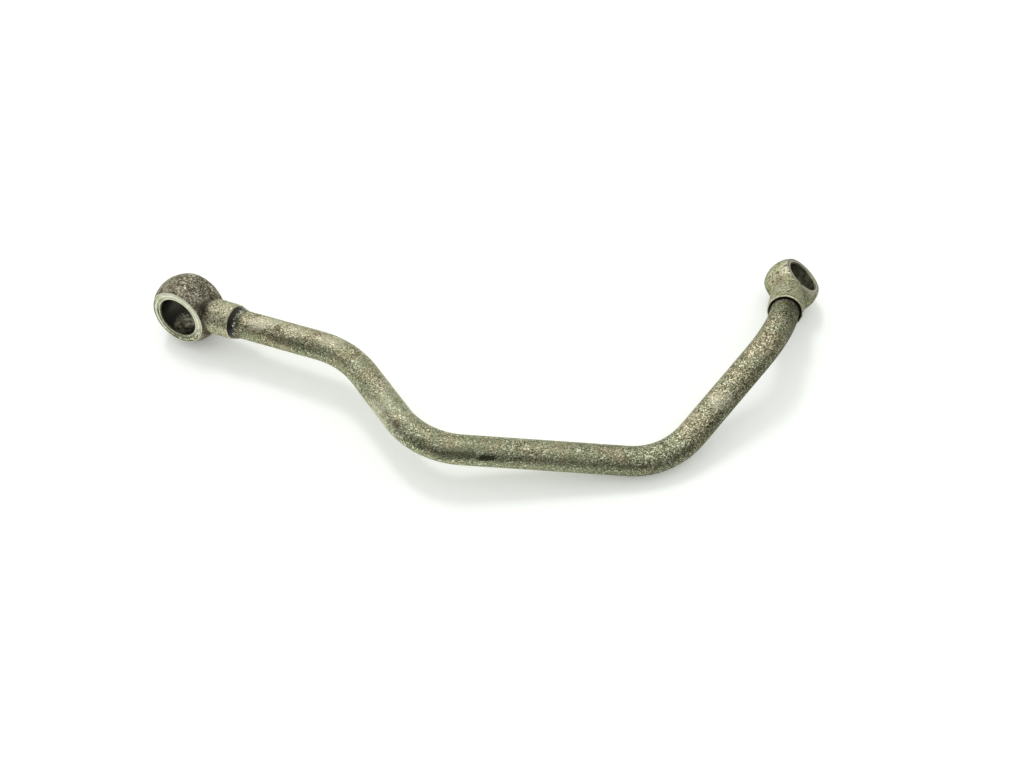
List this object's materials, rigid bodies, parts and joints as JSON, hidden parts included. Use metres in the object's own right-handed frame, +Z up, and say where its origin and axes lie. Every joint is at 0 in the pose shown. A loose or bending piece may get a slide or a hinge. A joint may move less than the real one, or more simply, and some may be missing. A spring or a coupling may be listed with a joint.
{
  "type": "turbo oil line",
  "caption": "Bent steel oil tube with a ball banjo eye brazed on each end, bored across for hollow bolts.",
  "frame": {"origin": "on the bench, under the middle of the line as it lies", "axes": "+X from the large eye towards the small eye, the line's longest extent; +Z up from the bench, its shortest extent"},
  "size_m": [0.2381, 0.0879, 0.0248],
  "materials": {
    "tube_steel": "tarnished, mottled plating",
    "eye_steel": "tarnished plating with bright machined faces",
    "braze_metal": "dark, oxidised"
  },
  "bodies": {
    "root": {"oil_tube": "tube_steel", "large_eye": "eye_steel", "small_eye": "eye_steel", "large_braze": "braze_metal", "small_braze": "braze_metal"}
  },
  "joints": []
}
